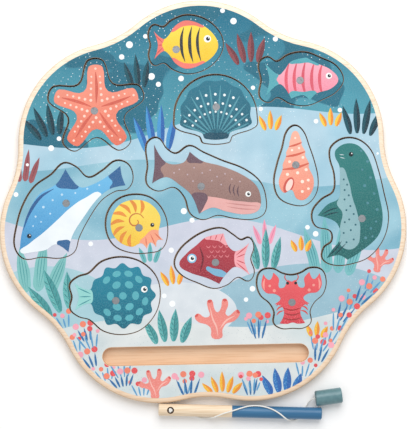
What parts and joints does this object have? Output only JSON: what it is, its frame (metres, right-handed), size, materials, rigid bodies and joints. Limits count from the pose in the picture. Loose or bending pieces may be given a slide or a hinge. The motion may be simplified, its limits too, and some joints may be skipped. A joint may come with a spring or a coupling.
{
  "type": "magnetic fishing game",
  "caption": "Flat wooden sea board with loose printed pieces in saw-cut recesses, each with a steel disc, a slot for the rod, and a rod with a magnet on a line.",
  "frame": {"origin": "middle of the board on its underside", "axes": "+Z out of the board's printed front, +Y towards the top of the picture, +X to its right"},
  "size_m": [0.304, 0.3161, 0.0117],
  "materials": {
    "plywood_back": "bare sanded birch",
    "plywood_front": "bare sanded birch",
    "piece_wood": "bare sanded birch, saw-cut sides",
    "pale_water_ink": "matt printed ink",
    "deep_water_ink": "matt printed ink",
    "mid_water_ink": "matt printed ink",
    "sand_ink": "matt printed ink",
    "weed_ink": "matt printed ink",
    "frond_ink": "matt printed ink",
    "blue_weed_ink": "matt printed ink",
    "sun_tufts_ink": "matt printed ink",
    "coral_ink": "matt printed ink",
    "stems_ink": "matt printed ink",
    "blossoms_ink": "matt printed ink",
    "bubbles_ink": "matt printed ink",
    "starfish_ground_ink": "matt printed ink",
    "starfish_ink": "matt printed ink",
    "round_fish_ground_ink": "matt printed ink",
    "round_fish_ink": "matt printed ink",
    "scallop_ground_ink": "matt printed ink",
    "scallop_ink": "matt printed ink",
    "long_fish_ground_ink": "matt printed ink",
    "long_fish_ink": "matt printed ink",
    "spire_shell_ground_ink": "matt printed ink",
    "spire_shell_ink": "matt printed ink",
    "seal_ground_ink": "matt printed ink",
    "seal_ink": "matt printed ink",
    "whale_ground_ink": "matt printed ink",
    "whale_ink": "matt printed ink",
    "dolphin_ground_ink": "matt printed ink",
    "dolphin_ink": "matt printed ink",
    "nautilus_ground_ink": "matt printed ink",
    "nautilus_ink": "matt printed ink",
    "red_fish_ground_ink": "matt printed ink",
    "red_fish_ink": "matt printed ink",
    "puffer_ground_ink": "matt printed ink",
    "puffer_ink": "matt printed ink",
    "lobster_ground_ink": "matt printed ink",
    "lobster_ink": "matt printed ink",
    "disc_steel": "plain zinc-plated steel",
    "rod_wood": "bare dowel, one end in satin blue paint",
    "line_cord": "twisted white cord",
    "holder_paint": "satin grey-blue paint on wood",
    "magnet_metal": "nickel-plated magnet"
  },
  "bodies": {
    "root": {"back_panel": "plywood_back", "front_panel": "plywood_front", "pale_water": "pale_water_ink", "deep_water": "deep_water_ink", "mid_water": "mid_water_ink", "sand": "sand_ink", "weed": "weed_ink", "frond": "frond_ink", "blue_weed": "blue_weed_ink", "sun_tufts": "sun_tufts_ink", "coral": "coral_ink", "stems": "stems_ink", "blossoms": "blossoms_ink", "bubbles": "bubbles_ink", "starfish": "piece_wood", "starfish_ground": "starfish_ground_ink", "starfish_figure": "starfish_ink", "round_fish": "piece_wood", "round_fish_ground": "round_fish_ground_ink", "round_fish_figure": "round_fish_ink", "scallop": "piece_wood", "scallop_ground": "scallop_ground_ink", "scallop_figure": "scallop_ink", "long_fish": "piece_wood", "long_fish_ground": "long_fish_ground_ink", "long_fish_figure": "long_fish_ink", "spire_shell": "piece_wood", "spire_shell_ground": "spire_shell_ground_ink", "spire_shell_figure": "spire_shell_ink", "seal": "piece_wood", "seal_ground": "seal_ground_ink", "seal_figure": "seal_ink", "whale": "piece_wood", "whale_ground": "whale_ground_ink", "whale_figure": "whale_ink", "dolphin": "piece_wood", "dolphin_ground": "dolphin_ground_ink", "dolphin_figure": "dolphin_ink", "nautilus": "piece_wood", "nautilus_ground": "nautilus_ground_ink", "nautilus_figure": "nautilus_ink", "red_fish": "piece_wood", "red_fish_ground": "red_fish_ground_ink", "red_fish_figure": "red_fish_ink", "puffer": "piece_wood", "puffer_ground": "puffer_ground_ink", "puffer_figure": "puffer_ink", "lobster": "piece_wood", "lobster_ground": "lobster_ground_ink", "lobster_figure": "lobster_ink", "steel_discs": "disc_steel", "rod": "rod_wood", "line_knot": "line_cord", "line": "line_cord", "magnet_holder": "holder_paint", "magnet": "magnet_metal"}
  },
  "joints": []
}
